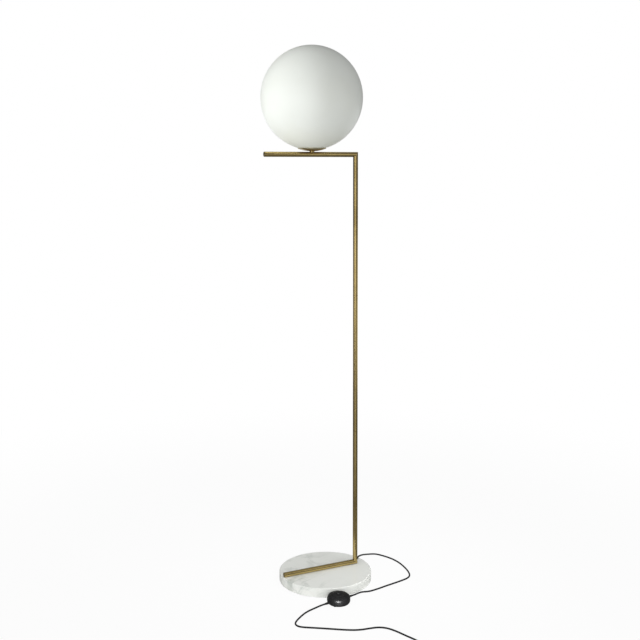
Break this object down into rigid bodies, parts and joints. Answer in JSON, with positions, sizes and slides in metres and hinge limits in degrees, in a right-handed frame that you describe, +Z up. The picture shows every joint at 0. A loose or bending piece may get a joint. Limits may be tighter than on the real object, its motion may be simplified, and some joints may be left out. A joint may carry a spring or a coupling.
{
  "type": "floor lamp",
  "caption": "Floor lamp with an opal glass globe on a slim brass frame, a round marble base, a foot switch on its lead and a two-pin plug.",
  "frame": {"origin": "centre of the base's underside, on the floor", "axes": "+Z up; +X along the foot tube and the arm, towards the pole; +Y away from the foot switch"},
  "size_m": [0.4889, 0.7476, 1.6406],
  "materials": {
    "marble": "polished white marble with soft grey veins",
    "base_rubber": "matt pad",
    "brass": "brushed antique brass",
    "brass_plain": "turned brass, unfinished, inside",
    "steel": "zinc-plated steel",
    "spring_steel": "bright spring steel",
    "opal_glass": "satin opal white",
    "seal_rubber": "soft white silicone rubber",
    "holder_plastic": "black thermoset",
    "ceramic": "glazed white steatite",
    "lead_sheath": "black, smooth satin sheath",
    "core_insulation": "brown insulation",
    "switch_plastic": "satin black moulding",
    "switch_button_plastic": "satin black moulding",
    "switch_rubber": "matt black",
    "plug_plastic": "satin black moulding",
    "pin_brass": "nickel-plated brass",
    "tie_strap": "matt black strap",
    "bulb_metal": "bright",
    "bulb_housing": "white",
    "bulb_diffuser": "satin white diffuser"
  },
  "bodies": {
    "stand": {"marble_base": "marble", "base_pad": "base_rubber", "base_screws": "steel", "base_washers": "steel", "foot_anchors": "brass_plain", "foot_tube": "brass", "foot_tube_cap": "brass", "arm_tube": "brass", "arm_tube_cap": "brass", "pole_lower": "brass", "pole_middle": "brass", "pole_upper": "brass", "pole_joint_studs": "brass_plain", "pole_joint_bushes": "brass_plain", "lead_bush": "switch_rubber", "arm_stem_block": "brass_plain", "stem_collar": "brass", "stem": "steel", "stem_nut": "steel", "globe_cup": "brass", "globe_seal": "seal_rubber", "clip_plate": "steel", "globe_clips": "spring_steel", "clip_rivets": "steel", "lampholder_cap": "holder_plastic", "lampholder_body": "holder_plastic", "lampholder_insert": "ceramic", "lampholder_screw_shell": "brass_plain", "lampholder_contact": "brass_plain", "lampholder_terminals": "brass_plain", "lampholder_cores": "core_insulation", "switch_base": "switch_plastic", "switch_cover": "switch_plastic", "switch_screws": "steel", "switch_feet": "switch_rubber", "switch_block": "ceramic", "switch_spring": "spring_steel", "switch_sleeves": "switch_rubber", "switch_lead_clamps": "switch_plastic", "switch_clamp_screws": "steel", "switch_terminals": "brass_plain", "lead_inside": "lead_sheath", "lead_to_switch": "lead_sheath", "lead_in_switch": "lead_sheath", "lead_to_coil": "lead_sheath", "lead_coil": "lead_sheath", "lead_to_plug": "lead_sheath", "coil_tie": "tie_strap", "plug_body": "plug_plastic", "plug_pins": "pin_brass"},
    "globe": {"glass_globe": "opal_glass"},
    "bulb": {"bulb_cap": "bulb_metal", "bulb_contact": "bulb_metal", "bulb_body": "bulb_housing", "bulb_led_plate": "bulb_metal", "bulb_dome": "bulb_diffuser"},
    "button": {"switch_button": "switch_button_plastic", "switch_plunger": "steel"}
  },
  "joints": [
    {"name": "globe_lift", "type": "slide", "parent": "stand", "child": "globe", "axis": [0, 0, 1], "range_m": [0, 0.15]},
    {"name": "bulb_unscrew", "type": "slide", "parent": "stand", "child": "bulb", "axis": [0, 0, 1], "range_m": [0, 0.027]},
    {"name": "switch_press", "type": "slide", "parent": "stand", "child": "button", "axis": [0, 0, -1], "range_m": [0, 0.003], "stiffness_N_per_m": 800, "springref_m": -0.001, "deforming": ["switch_spring"]}
  ]
}
